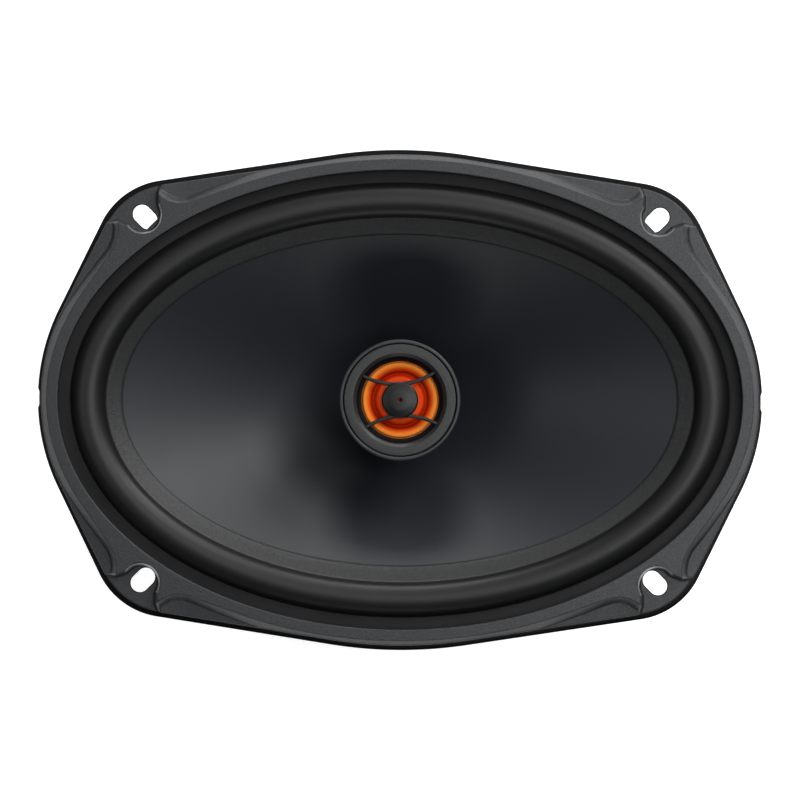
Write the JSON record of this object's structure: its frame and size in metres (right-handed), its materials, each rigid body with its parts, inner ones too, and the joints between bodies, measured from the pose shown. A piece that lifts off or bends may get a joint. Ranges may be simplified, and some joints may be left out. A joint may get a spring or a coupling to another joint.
{
  "type": "coaxial car speaker",
  "caption": "Oval two-way coaxial car speaker: stamped basket with slotted flange, moulded ring, rubber surround, moving cone and post-mounted tweeter.",
  "frame": {"origin": "centre of the flange's underside, the plane that seats on the panel, on the speaker's axis", "axes": "+Z out of the front along the speaker's axis, +X along the long side, +Y along the short side"},
  "size_m": [0.2358, 0.163, 0.0872],
  "materials": {
    "black_steel": "satin black powder coat",
    "ring_plastic": "fine-grained charcoal moulding",
    "rubber": "matte black",
    "cloth": "resin-stiffened cloth",
    "zinc_steel": "bright zinc",
    "ferrite": "ground ceramic ferrite",
    "black_plastic": "satin",
    "orange_film": "glossy orange film",
    "nickel": "nickel plated",
    "brown_board": "laminated board",
    "tinned_brass": "tinned",
    "cap_sleeve": "shrink sleeve",
    "wire_sleeve": "insulation",
    "tinsel": "braided tinsel",
    "cone_poly": "satin injected polypropylene",
    "former_film": "amber polyimide film",
    "copper": "enamelled copper winding",
    "glue": "cured adhesive"
  },
  "bodies": {
    "frame": {"basket": "black_steel", "trim_ring": "ring_plastic", "surround": "rubber", "spider": "cloth", "basket_rivets": "zinc_steel", "top_plate": "zinc_steel", "ferrite_magnet": "ferrite", "pole_yoke": "zinc_steel", "tweeter_post": "black_plastic", "mounting_stem": "zinc_steel", "lock_washer": "zinc_steel", "stem_nut": "zinc_steel", "tweeter_housing": "ring_plastic", "tweeter_bezel": "black_plastic", "tweeter_grille": "black_plastic", "tweeter_diaphragm": "orange_film", "tweeter_yoke": "zinc_steel", "tweeter_magnet": "nickel", "tweeter_plate": "zinc_steel", "terminal_board": "brown_board", "tab_positive": "tinned_brass", "tab_negative": "tinned_brass", "terminal_rivets": "zinc_steel", "crossover_capacitor": "cap_sleeve", "tweeter_leads": "wire_sleeve", "tinsel_positive": "tinsel", "tinsel_negative": "tinsel"},
    "cone_assembly": {"cone": "cone_poly", "voice_coil_former": "former_film", "voice_coil": "copper", "lead_anchors": "glue"},
    "tweeter_coil_assembly": {"tweeter_former": "former_film", "tweeter_coil": "copper"}
  },
  "joints": [
    {"name": "cone_travel", "type": "slide", "parent": "frame", "child": "cone_assembly", "axis": [0, 0, 1], "range_m": [-0.006, 0.006], "stiffness_N_per_m": 1600, "deforming": ["surround", "spider", "tinsel_positive", "tinsel_negative"]},
    {"name": "tweeter_travel", "type": "slide", "parent": "frame", "child": "tweeter_coil_assembly", "axis": [0, 0, 1], "range_m": [-0.00025, 0.00025], "stiffness_N_per_m": 200, "deforming": ["tweeter_diaphragm"]}
  ]
}
